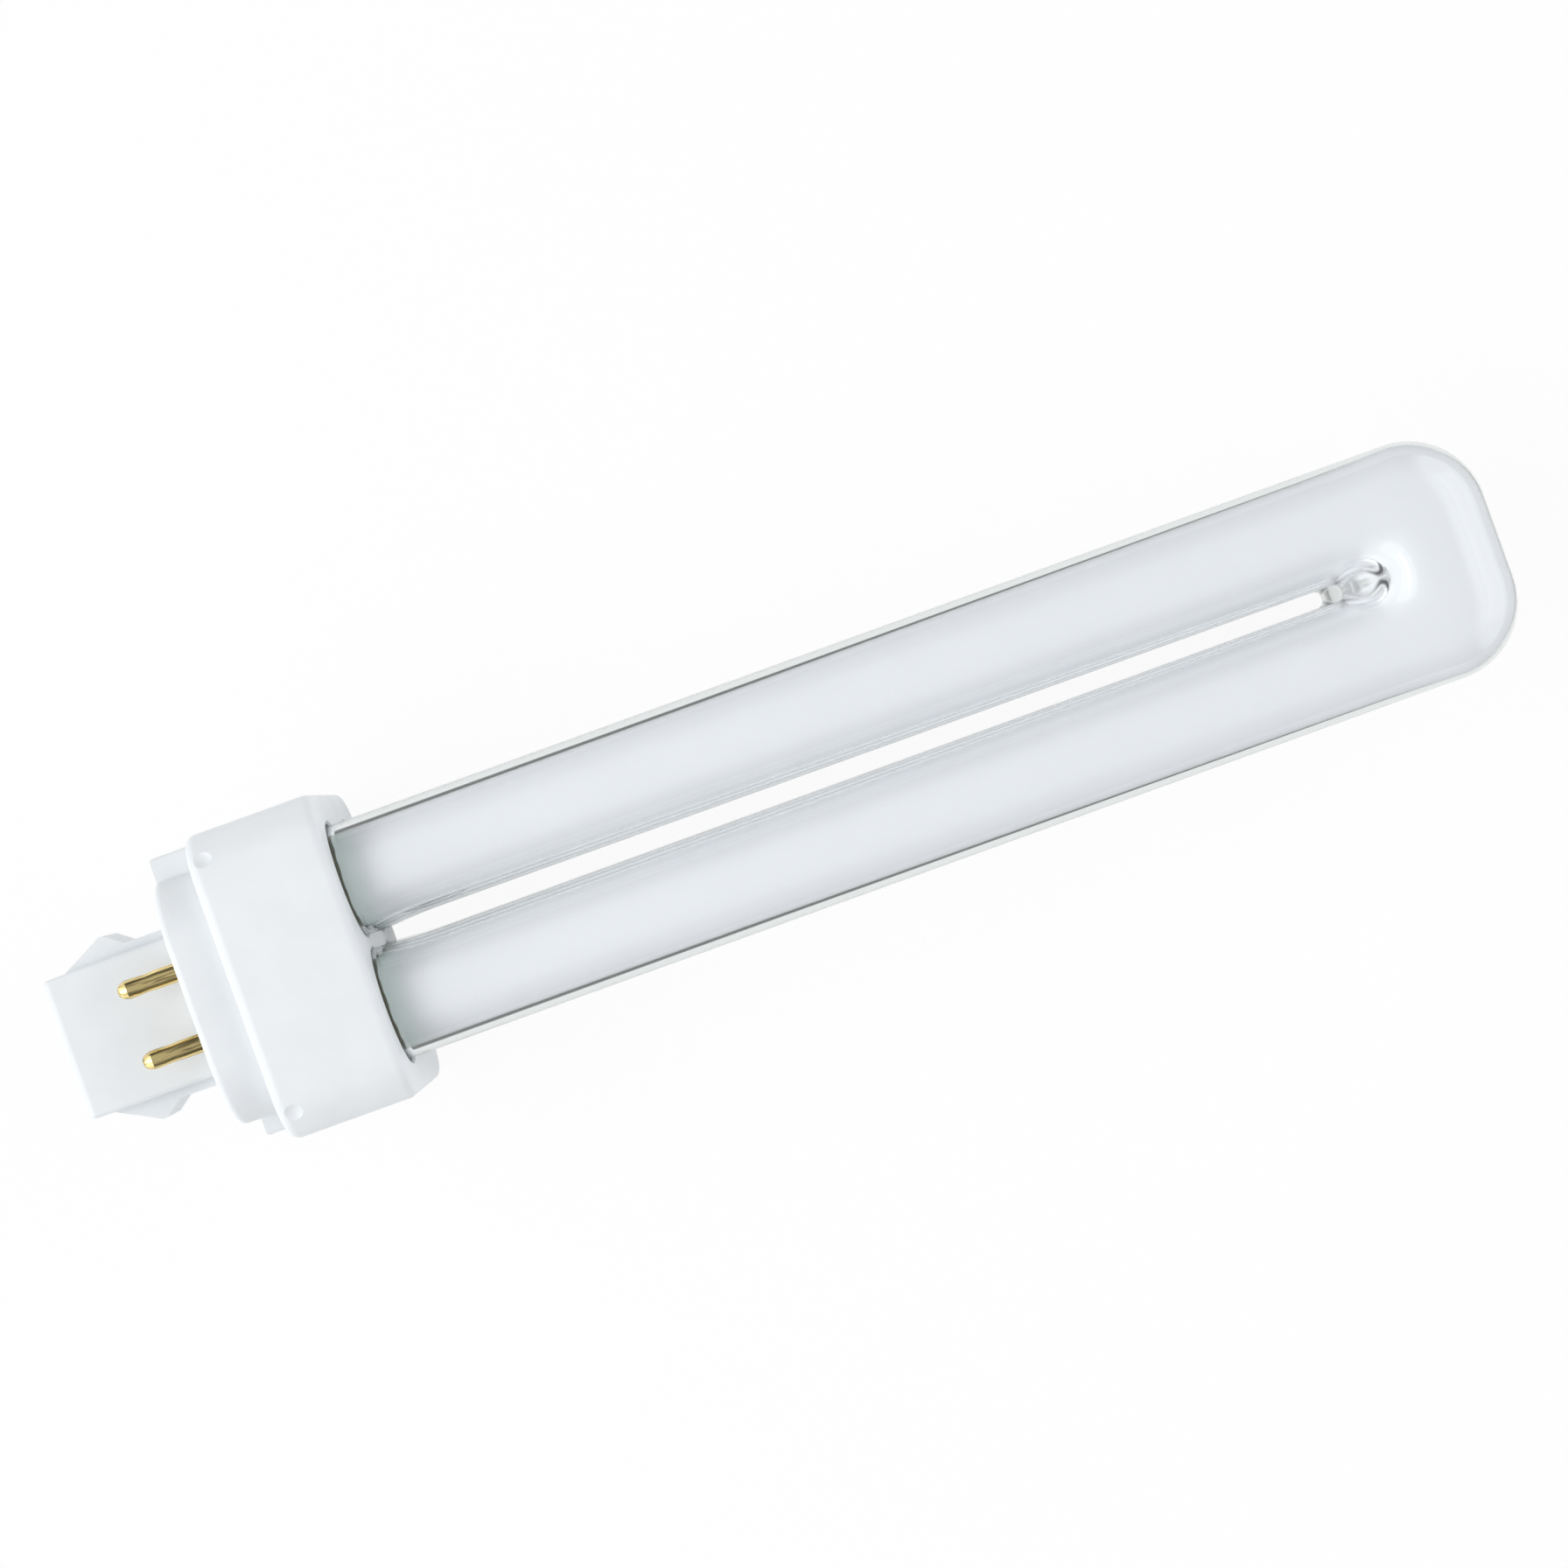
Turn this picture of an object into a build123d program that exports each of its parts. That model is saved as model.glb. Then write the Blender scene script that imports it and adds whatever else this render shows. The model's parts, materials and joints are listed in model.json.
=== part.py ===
from build123d import *
import os

# A compact fluorescent lamp: two squared glass U-tubes standing in a moulded housing, with a keyed
# plug cap and four contact pins. It lies on its side. The lamp's axis is X with the tubes towards
# +X, Y runs across the legs of each U and +Z is up. The origin is on the axis, in the plane where
# the cap's collar seats on a lampholder. Sizes are in millimetres.

# Glass tubes
TUBE_OD = 12.2
GLASS_WALL = 1.05
TUBE_PITCH = 14.45
TUBE_REACH = 149.5
BEND_LENGTH = 17.7
BEND_CAVITY = 11.6
BEND_CORNER = 8.5
ROUND_EDGE_FLAT = 0.02
LEG_START = 11.5
BRIDGE_X = 27.0
BRIDGE_OD = 7.0

# Pinched ends, where the wires leave the glass
PINCH_WIDTH = 8.0
PINCH_THICK = 2.6
PINCH_CORNER = 1.1
PINCH_END = 5.5
PINCH_LENGTH = 2.0
END_STEP = 0.1

# Housing
HOUSING_SIDE = 34.3
HOUSING_CORNER = 5.2
HOUSING_BACK = 5.5
HOUSING_FRONT = 19.9
HOUSING_WALL = 1.6
FRONT_EDGE = 1.0
BACK_EDGE = 1.2
LEG_HOLE = 13.0
HOLE_EDGE = 0.25
SLEEVE_LENGTH = 3.3
SLEEVE_WALL = 1.0

# Dimples in the housing's rounded corners, whose pegs hold the cap's skirt
STAKE_X = 7.3
STAKE_ANGLE = 25.5
DIMPLE_DIAMETER = 2.1
DIMPLE_DEPTH = 0.34
PEG_DIAMETER = 1.2
PEG_LENGTH = 0.8
PEG_HOLE = 1.4
PEG_END_GAP = 0.1

# Cap: collar, flange and skirt
COLLAR_SIDE = 28.0
COLLAR_CORNER = 8.0
COLLAR_EDGE = 0.8
CAP_WALL = 1.6
FLANGE_THICK = 1.6
SKIRT_LENGTH = 2.4
SKIRT_WALL = 1.4
MOULDED_FIT = 0.05

# Cap: keys on the collar
KEY_REACH = 16.45
KEY_WIDTH = 4.0
KEY_OFFSET = 5.8
KEY_START = 0.4
KEY_EDGE = 0.4

# Cap: post with its rails and latch bumps
POST_LENGTH = 15.5
POST_WIDTH = 15.9
POST_DEPTH = 13.5
POST_CORNER = 0.5
POST_EDGE = 1.0
RAIL_WIDTH = 18.0
RAIL_DEPTH = 8.5
LATCH_WIDTH = 21.0
LATCH_START = 13.1
LATCH_CREST = 8.3
LATCH_CREST_LENGTH = 0.5
LATCH_FALL = 2.0

# Contact pins
PIN_DIAMETER = 2.1
PIN_PITCH = 8.0
PIN_ROWS = 22.6
PIN_REACH = 6.8
PIN_ROOT = 3.5
PIN_ROOT_DIAMETER = 2.6
PIN_BORE_DEPTH = 4.0
PIN_TIP = 1.0
PIN_TIP_DIAMETER = 1.1
WAIST_X = 3.4
WAIST_LENGTH = 1.6
WAIST_DIAMETER = 1.94
BOSS_WALL = 1.0
PRESS_FIT = 0.02

# Lead wires and electrodes
WIRE_DIAMETER = 0.6
WIRE_SPACING = 4.0
WIRE_TURN_X = 4.6
WIRE_TURN_RADIUS = 0.7
WIRE_END = 24.0
WIRE_END_GAP = 0.1
FILAMENT_TURNS = 9
FILAMENT_CORE = 0.5
FILAMENT_RIDGE = 0.15
FILAMENT_CLEARANCE = 0.05

# Basing cement
CEMENT_CLEARANCE = 0.05

HALF_PITCH = TUBE_PITCH / 2
TUBE_RADIUS = TUBE_OD / 2
HOUSING_INSIDE = HOUSING_SIDE - 2 * HOUSING_WALL
SKIRT_SIDE = HOUSING_INSIDE - 2 * MOULDED_FIT
SKIRT_END = HOUSING_BACK + FLANGE_THICK + SKIRT_LENGTH
SLEEVE_START = HOUSING_FRONT - HOUSING_WALL - SLEEVE_LENGTH
SKIRT_CORNER = HOUSING_CORNER - HOUSING_WALL - MOULDED_FIT
PEG_END = HOUSING_CORNER - HOUSING_WALL - PEG_LENGTH
COLLAR_INSIDE = COLLAR_SIDE - 2 * CAP_WALL
WIRE_SEAL = WIRE_DIAMETER + 2 * PRESS_FIT
WIRE_OFFSETS = (-WIRE_SPACING / 2, WIRE_SPACING / 2)
SIDES = (-1, 1)


def prism(start, end, width, depth, corner):
    """A rounded rectangle, width along Y and depth along Z, drawn out along X."""
    return extrude(Plane.YZ.offset(start) * RectangleRounded(width, depth, corner), end - start)


def rod(start, end, y, z, diameter):
    """A round bar along X."""
    return extrude(Plane.YZ.offset(start) * Pos(y, z) * Circle(diameter / 2), end - start)


def edges_at(solid, x):
    """The edges that lie in the plane X = x."""
    return solid.edges().filter_by_position(Axis.X, x - 0.001, x + 0.001)


def leg_places():
    """The Y and Z of the four legs."""
    return [(sy * HALF_PITCH, sz * HALF_PITCH) for sy in SIDES for sz in SIDES]


def u_tube(radius, tip, slot_end, leg_start):
    """One U about Z = 0: a full-round squared bend, with its legs drawn back to leg_start."""
    slot = HALF_PITCH - radius
    centre = slot_end - slot
    corner = BEND_CORNER - (TUBE_RADIUS - radius)
    plate = Pos((centre + tip) / 2, 0) * Rectangle(tip - centre, TUBE_PITCH + 2 * radius)
    plate = fillet(plate.vertices().group_by(Axis.X)[-1], corner)
    plate -= Pos(centre, 0) * Circle(slot)
    bend = extrude(plate, radius, both=True)
    rims = [
        edge
        for face in (bend.faces().sort_by(Axis.Z)[0], bend.faces().sort_by(Axis.Z)[-1])
        for edge in face.edges()
        if edge.bounding_box().max.X > centre + 0.001
    ]
    bend = fillet(rims, radius - ROUND_EDGE_FLAT)
    sections = bend.faces().filter_by_position(Axis.X, centre - 0.001, centre + 0.001)
    legs = [extrude(face, centre - leg_start, dir=(-1, 0, 0)) for face in sections]
    return bend + legs


def pinched_end():
    """The pressed glass end of an electrode leg, about Y = Z = 0."""
    round_part = Plane.YZ.offset(LEG_START) * Circle(TUBE_RADIUS - END_STEP)
    flat_part = Plane.YZ.offset(PINCH_END + PINCH_LENGTH) * RectangleRounded(
        PINCH_WIDTH, PINCH_THICK, PINCH_CORNER
    )
    press = loft([flat_part, round_part])
    return press + prism(
        PINCH_END, PINCH_END + PINCH_LENGTH, PINCH_WIDTH, PINCH_THICK, PINCH_CORNER
    )


def discharge_tube():
    """Two U-tubes one behind the other, joined by a short bridge between their legs at -Y."""
    slot_end = TUBE_REACH - BEND_LENGTH
    bore_radius = TUBE_RADIUS - GLASS_WALL
    bore_tip = TUBE_REACH - GLASS_WALL
    outer_u = u_tube(TUBE_RADIUS, TUBE_REACH, slot_end, LEG_START)
    inner_u = u_tube(bore_radius, bore_tip, bore_tip - BEND_CAVITY, LEG_START + GLASS_WALL)
    closed_end = Pos(LEG_START, -HALF_PITCH, 0) * Sphere(TUBE_RADIUS - END_STEP)
    wired_end = Pos(0, HALF_PITCH, 0) * pinched_end()
    for offset in WIRE_OFFSETS:
        seal = rod(PINCH_END, LEG_START + 2 * GLASS_WALL, HALF_PITCH + offset, 0, WIRE_SEAL)
        wired_end -= seal
        inner_u += seal
    vessel = Pos(0, 0, HALF_PITCH) * (outer_u + closed_end + wired_end)
    vessel += Pos(0, 0, -HALF_PITCH) * (outer_u + closed_end + wired_end)
    bridge_at = Pos(BRIDGE_X, -HALF_PITCH, 0)
    vessel += bridge_at * Cylinder(BRIDGE_OD / 2, TUBE_PITCH)
    for side in SIDES:
        vessel -= Pos(0, 0, side * HALF_PITCH) * inner_u
    vessel -= bridge_at * Cylinder(BRIDGE_OD / 2 - GLASS_WALL, TUBE_PITCH)
    return vessel


def base_housing():
    """The square cup round the leg ends: face plate, four sleeves and the dimples with their pegs."""
    cup = prism(HOUSING_BACK, HOUSING_FRONT, HOUSING_SIDE, HOUSING_SIDE, HOUSING_CORNER)
    cup = fillet(edges_at(cup, HOUSING_FRONT), FRONT_EDGE)
    cup = fillet(edges_at(cup, HOUSING_BACK), BACK_EDGE)
    cup -= prism(
        HOUSING_BACK,
        HOUSING_FRONT - HOUSING_WALL,
        HOUSING_INSIDE,
        HOUSING_INSIDE,
        HOUSING_CORNER - HOUSING_WALL,
    )
    for y, z in leg_places():
        cup += rod(SLEEVE_START, HOUSING_FRONT - HOUSING_WALL, y, z, LEG_HOLE + 2 * SLEEVE_WALL)
    for y, z in leg_places():
        cup -= rod(SLEEVE_START, HOUSING_FRONT, y, z, LEG_HOLE)
    rims = edges_at(cup, HOUSING_FRONT).filter_by(GeomType.CIRCLE)
    rims = [edge for edge in rims if abs(edge.radius - LEG_HOLE / 2) < HOLE_EDGE]
    cup = chamfer(rims, HOLE_EDGE)
    ball = (DIMPLE_DIAMETER**2 / 4 + DIMPLE_DEPTH**2) / (2 * DIMPLE_DEPTH)
    dent = Pos(0, 0, HOUSING_CORNER - DIMPLE_DEPTH + ball) * Sphere(ball)
    for place in stake_places():
        cup += place * stake_rod(PEG_DIAMETER, PEG_END, HOUSING_CORNER - HOUSING_WALL / 2)
        cup -= place * dent
    return cup


def base_cap():
    """Collar, flange and skirt in one moulding with the plug post, its keys and the pin bosses."""
    collar = prism(0, HOUSING_BACK, COLLAR_SIDE, COLLAR_SIDE, COLLAR_CORNER)
    collar = fillet(edges_at(collar, 0), COLLAR_EDGE)
    cap = collar + prism(HOUSING_BACK, SKIRT_END, SKIRT_SIDE, SKIRT_SIDE, SKIRT_CORNER)
    cap -= prism(
        HOUSING_BACK + FLANGE_THICK,
        SKIRT_END,
        SKIRT_SIDE - 2 * SKIRT_WALL,
        SKIRT_SIDE - 2 * SKIRT_WALL,
        SKIRT_CORNER - SKIRT_WALL,
    )
    cap -= prism(CAP_WALL, SKIRT_END, COLLAR_INSIDE, COLLAR_INSIDE, COLLAR_CORNER - CAP_WALL)
    for side in SIDES:
        cap += coding_key(side)
    cap += plug_post()
    hollow_width = POST_WIDTH - 2 * CAP_WALL
    hollow_depth = POST_DEPTH - 2 * CAP_WALL
    cap -= prism(CAP_WALL - POST_LENGTH, CAP_WALL, hollow_width, hollow_depth, POST_CORNER)
    for y, z in pin_places():
        cap += rod(CAP_WALL, PIN_ROOT, y, z, PIN_ROOT_DIAMETER + 2 * BOSS_WALL)
    for y, z in pin_places():
        cap -= rod(0, PIN_ROOT, y, z, PIN_ROOT_DIAMETER + 2 * PRESS_FIT)
    for place in stake_places():
        cap -= place * stake_rod(PEG_HOLE, PEG_END - PEG_END_GAP, HOUSING_CORNER)
    return cap


def coding_key(side):
    """One of the two keys on the collar. They match after half a turn about the lamp's axis."""
    inner = COLLAR_SIDE / 2 - CAP_WALL / 2
    key = Box(HOUSING_BACK - KEY_START, KEY_REACH - inner, KEY_WIDTH)
    key = fillet(key.edges().group_by(Axis.Y)[-1], KEY_EDGE)
    key = Pos((HOUSING_BACK + KEY_START) / 2, (KEY_REACH + inner) / 2, KEY_OFFSET) * key
    return key if side > 0 else key.rotate(Axis.X, 180)


def stake_places():
    """The housing's corner centres at STAKE_X, each turned so that Z points out at its dimple."""
    centre = HOUSING_SIDE / 2 - HOUSING_CORNER
    places = []
    for sy in SIDES:
        places.append(Pos(STAKE_X, sy * centre, centre) * Rot(-sy * STAKE_ANGLE, 0, 0))
        places.append(Pos(STAKE_X, sy * centre, -centre) * Rot(180 + sy * STAKE_ANGLE, 0, 0))
    return places


def stake_rod(diameter, foot, top):
    """A round rod on Z between two distances from the corner's centre."""
    return Pos(0, 0, (foot + top) / 2) * Cylinder(diameter / 2, top - foot)


def plug_post():
    """The solid form of the post, with a rail and a latch bump on each narrow side."""
    post = prism(-POST_LENGTH, CAP_WALL, POST_WIDTH, POST_DEPTH, POST_CORNER)
    post = fillet(edges_at(post, -POST_LENGTH), POST_EDGE)
    half = POST_WIDTH / 2
    crest_end = LATCH_CREST - LATCH_CREST_LENGTH
    profile = [
        (0, 0),
        (-LATCH_START, 0),
        (-LATCH_START, half),
        (-LATCH_CREST, LATCH_WIDTH / 2),
        (-crest_end, LATCH_WIDTH / 2),
        (LATCH_FALL - crest_end, RAIL_WIDTH / 2),
        (0, RAIL_WIDTH / 2),
    ]
    for side in SIDES:
        outline = Polyline([(x, side * y) for x, y in profile], close=True)
        post += extrude(make_face(outline), RAIL_DEPTH / 2, both=True)
    return post


def pin_places():
    """The Y and Z of the four contact pins."""
    return [(sy * PIN_PITCH / 2, sz * PIN_ROWS / 2) for sz in SIDES for sy in SIDES]


def contact_pin():
    """A brass pin on the X axis, with a thick root, a slight waist and a blind bore for the wire."""
    radius = PIN_DIAMETER / 2
    root_radius = PIN_ROOT_DIAMETER / 2
    bore = WIRE_SEAL / 2
    bore_end = PIN_ROOT - PIN_BORE_DEPTH
    waist_start = -WAIST_X - WAIST_LENGTH / 2
    waist_end = -WAIST_X + WAIST_LENGTH / 2
    shoulder = PIN_TIP - PIN_REACH
    tip = PIN_TIP_DIAMETER / 2
    outline = Polyline(
        (shoulder, radius),
        (PIN_TIP / 4 - PIN_REACH, tip + PIN_TIP / 4),
        (-PIN_REACH, tip),
        (-PIN_REACH, 0),
        (bore_end, 0),
        (bore_end, bore),
        (PIN_ROOT, bore),
        (PIN_ROOT, root_radius),
        (0, root_radius),
        (0, radius),
        (waist_end, radius),
    )
    outline += ThreePointArc(
        (waist_end, radius), (-WAIST_X, WAIST_DIAMETER / 2), (waist_start, radius)
    )
    outline += Line((waist_start, radius), (shoulder, radius))
    return revolve(make_face(outline), Axis.X)


def lead_wire(side, leg_offset, pin_side):
    """A wire from the electrode, out through the pinch and across to its contact pin."""
    y = HALF_PITCH + leg_offset
    z = side * HALF_PITCH
    pin_y = pin_side * PIN_PITCH / 2
    pin_z = side * PIN_ROWS / 2
    route = FilletPolyline(
        (WIRE_END, y, z),
        (WIRE_TURN_X, y, z),
        (WIRE_TURN_X, pin_y, pin_z),
        (PIN_ROOT - PIN_BORE_DEPTH + WIRE_END_GAP, pin_y, pin_z),
        radius=WIRE_TURN_RADIUS,
    )
    start = Plane(origin=route @ 0, z_dir=route % 0)
    return sweep(start * Circle(WIRE_DIAMETER / 2), path=route)


def filament(side):
    """A coated tungsten coil, closely wound, held between the ends of its two lead wires."""
    length = WIRE_SPACING - WIRE_DIAMETER - 2 * FILAMENT_CLEARANCE
    turn = length / FILAMENT_TURNS
    core = FILAMENT_CORE / 2
    crest = core + FILAMENT_RIDGE
    ridges = [
        point
        for index in range(FILAMENT_TURNS)
        for point in ((index * turn, core), ((index + 0.5) * turn, crest))
    ]
    outline = Polyline((0, 0), *ridges, (length, core), (length, 0), close=True)
    coil = revolve(make_face(outline), Axis.X)
    foot = HALF_PITCH - length / 2
    return Pos(WIRE_END - core, foot, side * HALF_PITCH) * coil.rotate(Axis.Z, 90)


def basing_cement():
    """The cement poured round the leg ends, between the housing's wall and its sleeves."""
    side = HOUSING_INSIDE - 2 * CEMENT_CLEARANCE
    corner = HOUSING_CORNER - HOUSING_WALL - CEMENT_CLEARANCE
    cement = prism(LEG_START, SLEEVE_START, side, side, corner)
    for y, z in leg_places():
        cement -= rod(LEG_START, SLEEVE_START, y, z, TUBE_OD + 2 * CEMENT_CLEARANCE)
    return cement


def build_nodes():
    nodes = {
        "discharge_tube": discharge_tube(),
        "base_housing": base_housing(),
        "base_cap": base_cap(),
        "basing_cement": basing_cement(),
    }
    pin = contact_pin()
    for number, (y, z) in enumerate(pin_places(), start=1):
        nodes[f"contact_pin_{number}"] = Pos(0, y, z) * pin
    number = 0
    for row, side in enumerate(SIDES, start=1):
        nodes[f"filament_{row}"] = filament(side)
        for pin_side, leg_offset in zip(SIDES, WIRE_OFFSETS):
            number += 1
            nodes[f"lead_wire_{number}"] = lead_wire(side, leg_offset, pin_side)
    return nodes


os.makedirs("parts", exist_ok=True)
for name, solid in build_nodes().items():
    export_step(solid, f"parts/{name}.step")
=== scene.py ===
import json
import math

import bmesh
import bpy
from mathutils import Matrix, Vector

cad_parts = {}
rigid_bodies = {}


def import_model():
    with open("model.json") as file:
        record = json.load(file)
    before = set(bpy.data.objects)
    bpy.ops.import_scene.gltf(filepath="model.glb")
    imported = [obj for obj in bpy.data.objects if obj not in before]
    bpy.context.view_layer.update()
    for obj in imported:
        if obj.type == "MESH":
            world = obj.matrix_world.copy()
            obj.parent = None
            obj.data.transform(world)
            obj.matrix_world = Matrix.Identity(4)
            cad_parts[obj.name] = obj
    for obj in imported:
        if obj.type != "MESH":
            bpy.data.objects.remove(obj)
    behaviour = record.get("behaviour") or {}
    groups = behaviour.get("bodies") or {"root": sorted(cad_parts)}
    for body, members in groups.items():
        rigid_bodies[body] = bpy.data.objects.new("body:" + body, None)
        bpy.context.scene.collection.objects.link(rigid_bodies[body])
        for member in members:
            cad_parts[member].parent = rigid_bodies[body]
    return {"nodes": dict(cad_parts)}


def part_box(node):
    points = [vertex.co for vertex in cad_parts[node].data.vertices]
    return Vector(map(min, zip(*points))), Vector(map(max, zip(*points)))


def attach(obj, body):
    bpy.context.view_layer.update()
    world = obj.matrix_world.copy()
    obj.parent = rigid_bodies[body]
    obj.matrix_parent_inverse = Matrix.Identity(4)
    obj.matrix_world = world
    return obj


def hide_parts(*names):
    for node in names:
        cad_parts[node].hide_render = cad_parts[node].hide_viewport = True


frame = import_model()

bl_info = {
    "name": "Plug-in fluorescent lamp",
    "version": (1, 0, 0),
    "blender": (4, 5, 0),
    "location": "View3D > Sidebar > Lamp",
    "description": "Glass U-tubes with their coating, a moulded base and brass pins",
    "category": "Object",
}

MM = 0.001
BODY = "root"
TOUCH = 0.01 * MM

RING_POINTS = 96
BEND_RINGS = 72
LEG_RINGS = 28
LEG_STEP_POWER = 1.5
ROOT_SPREADS = 3
TURNED_POINTS = 64
WAIST_STEPS = 12
CREASE = math.radians(35)
PIN_CREASE = math.radians(7)

# Glass: the fullness of an ellipse, how far from the bend a leg begins to thin, the wall above
# and below at the tip as a share of the tip's own, and the bridge's flare where it meets a leg.
ROUND = 2.0
THINNING_LENGTH = 25 * MM
ROOF_SHARE = 1.6
BRIDGE_RINGS = 32
BRIDGE_POINTS = 48
BRIDGE_FLARE = 0.55 * MM
FLARE_SPREAD = 1.6 * MM

# The coating begins this far behind the housing's face.
COAT_ROOT = 1.0 * MM

# Masks. A mask goes over from one value to the other between the two distances of its span.
# The starts, ends and the radius count from the slot's end, and the others from the axis.
PRESSED_START = (-3.0 * MM, -0.5 * MM)
PRESSED_END = (2.5 * MM, 6.0 * MM)
PRESSED_SIDE = (1.0 * MM, 4.0 * MM)
# The painted highlight: the coating is whiter just beyond the slot's end.
PAINTED_HIGHLIGHT_RADIUS = (5.6 * MM, 9.0 * MM)
PAINTED_HIGHLIGHT_SIDE = (2.8 * MM, 5.0 * MM)
PAINTED_HIGHLIGHT_START = (2.0 * MM, 3.5 * MM)
# The painted glow: where the shaded coating between the legs is lightened by emission.
PAINTED_GLOW_NEAR = (2.6 * MM, 3.8 * MM)
PAINTED_GLOW_FAR = (6.8 * MM, 8.4 * MM)
PAINTED_GLOW_END = (3.5 * MM, 8.0 * MM)

# The coating's edge, from the housing's face: where it begins to grow dense, and how ragged it
# is. The seal line wanders and ends by shares of its width, with a small step beyond the face.
COAT_START = 0.8 * MM
COAT_RAGGED = 1.6 * MM
SEAL_WANDER = -3.0
SEAL_BEHIND, SEAL_SHORT = 0.8, 0.5
SEAL_STEP = 0.05 * MM

# Noises, in marks per metre.
CLOUD_SCALE = 140.0
RAGGED_SCALE = 420.0
SEAL_SCALE = 300.0
WAVE_SCALE = 260.0
MOTTLE_SCALE = 180.0
SPECK_SCALE = 190.0
DRAWN_SCALE = 4200.0

# The finishes: the darkest cloud and drawn line as a share of the base colour, the part of each
# noise that shows, and how much the roughness varies over the grain.
CLOUD_SHADE = 0.975
DRAWN_SHADE = 0.28
DRAWN_SPAN = (0.46, 0.66)
MOTTLE_SPAN = (0.35, 0.75)
ROUGHNESS_SPREAD = 0.12
GRAIN_STRENGTH = 0.35
WAVE_STRENGTH = 0.02
WAVE_HEIGHT = 0.05 * MM
GRAIN_HEIGHT = 0.03 * MM

# Specks: a cell's middle is dark, in about a fifth of the cells.
SPECK_SIZE = (0.012, 0.02)
SPECK_CHANCE = (0.78, 0.8)
SPECK_DEPTH = 0.7
SPECK = (0.30, 0.29, 0.27)

CEMENT = (0.46, 0.43, 0.37)
CEMENT_SHADE = (0.36, 0.33, 0.28)
NICKEL = (0.58, 0.56, 0.53)
EMITTER = (0.74, 0.74, 0.71)
EMITTER_SHADE = (0.6, 0.6, 0.57)
WHITE = (1.0, 1.0, 1.0)
BLACK = (0.0, 0.0, 0.0)

# The pin's turned tip: distance from its end, and radius over that of the flat there.
PIN_TIP = (
    (0.0, -0.06 * MM),
    (0.06 * MM, 0.0),
    (0.24 * MM, 0.22 * MM),
    (0.32 * MM, 0.27 * MM),
)
# Its shoulder: the same from the tip's length and the shank's radius.
PIN_SHOULDER = ((-0.1 * MM, -0.03 * MM), (0.06 * MM, 0.0))

# The stage, in metres. The contact, the sheet's end and its part beside the bends count from
# the tube tips. The surround's spans are parts of the view's direction.
FLOOR_HALF = 1.5
TIP_CONTACT = 6.0 * MM
SHEET_BLUR = 1.5 * MM
SHEET_END = (20.5 * MM, 23.5 * MM)
SHEET_BENDS = (-24 * MM, -12 * MM)
BEND_SURROUND = 0.85
DARK_SURROUND = (0.03, 0.03, 0.03)
FLOOR_LIGHT = 0.93
OVERHEAD = (0.45, 0.75)
PLUG_SIDE = (-0.34, -0.5)
BEND_SIDE = (0.45, 0.65)
SKY = (0.97, 0.985, 1.0)
LIGHTS_AIM = (0.067, 0, 0)
KEY_PLACE, KEY_SIZE = (-0.28, 0.02, 0.34), (0.30, 0.15)
FILL_PLACE, FILL_SIZE = (0.52, 0.0, 0.20), (0.5, 0.24)

tube_low, tube_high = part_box("discharge_tube")
housing_low, housing_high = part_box("base_housing")
pin_low, pin_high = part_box("contact_pin_4")
cement_low, cement_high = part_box("basing_cement")


def size(name, text, default, **more):
    """A length in metres that a user may change."""
    return bpy.props.FloatProperty(
        name=name, description=text, default=default, unit="LENGTH", precision=5, **more
    )


def amount(name, text, default, **more):
    return bpy.props.FloatProperty(name=name, description=text, default=default, **more)


def colour(name, text, default):
    return bpy.props.FloatVectorProperty(
        name=name, description=text, default=default, size=3, subtype="COLOR", min=0.0, max=1.0
    )


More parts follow.
